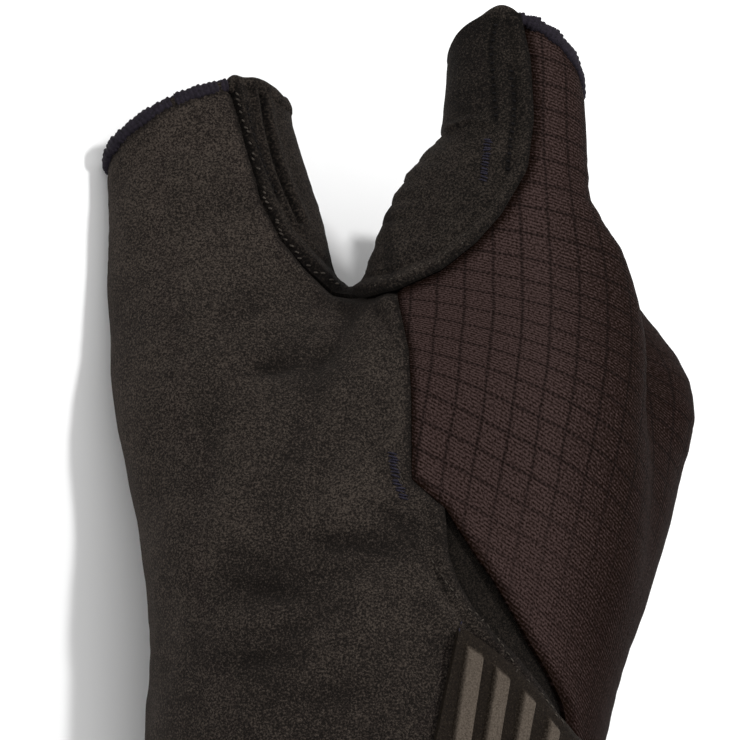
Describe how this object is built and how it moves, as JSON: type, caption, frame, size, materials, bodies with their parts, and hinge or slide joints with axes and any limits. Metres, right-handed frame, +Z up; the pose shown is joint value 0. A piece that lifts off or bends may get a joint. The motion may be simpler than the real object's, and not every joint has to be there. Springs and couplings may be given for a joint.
{
  "type": "cycling glove",
  "caption": "Right-hand half-finger cycling glove in brown-grey suede and ripstop, lying filled out on its thumb side and outer edge, with a wrist slit and a ribbed closure tab.",
  "frame": {"origin": "centre of the footprint, on the surface the glove lies on", "axes": "+Y runs from the wrist to the fingertips, +Z is up, +X points from the thumb towards the back of the hand"},
  "size_m": [0.1169, 0.1598, 0.0718],
  "materials": {
    "suede": "matte napped suede",
    "ripstop": "matte ripstop weave",
    "dark_suede": "matte napped suede",
    "slit_suede": "matte napped suede",
    "tab_rubber": "satin moulded rubber",
    "binding_thread": "overlock thread"
  },
  "bodies": {
    "root": {"palm_panel": "suede", "back_panel": "ripstop", "web_gusset": "dark_suede", "slit_gusset": "slit_suede", "closure_tab": "tab_rubber", "thumb_binding": "binding_thread", "index_binding": "binding_thread", "middle_binding": "binding_thread", "ring_binding": "binding_thread", "little_binding": "binding_thread", "hem_binding": "binding_thread"}
  },
  "joints": []
}
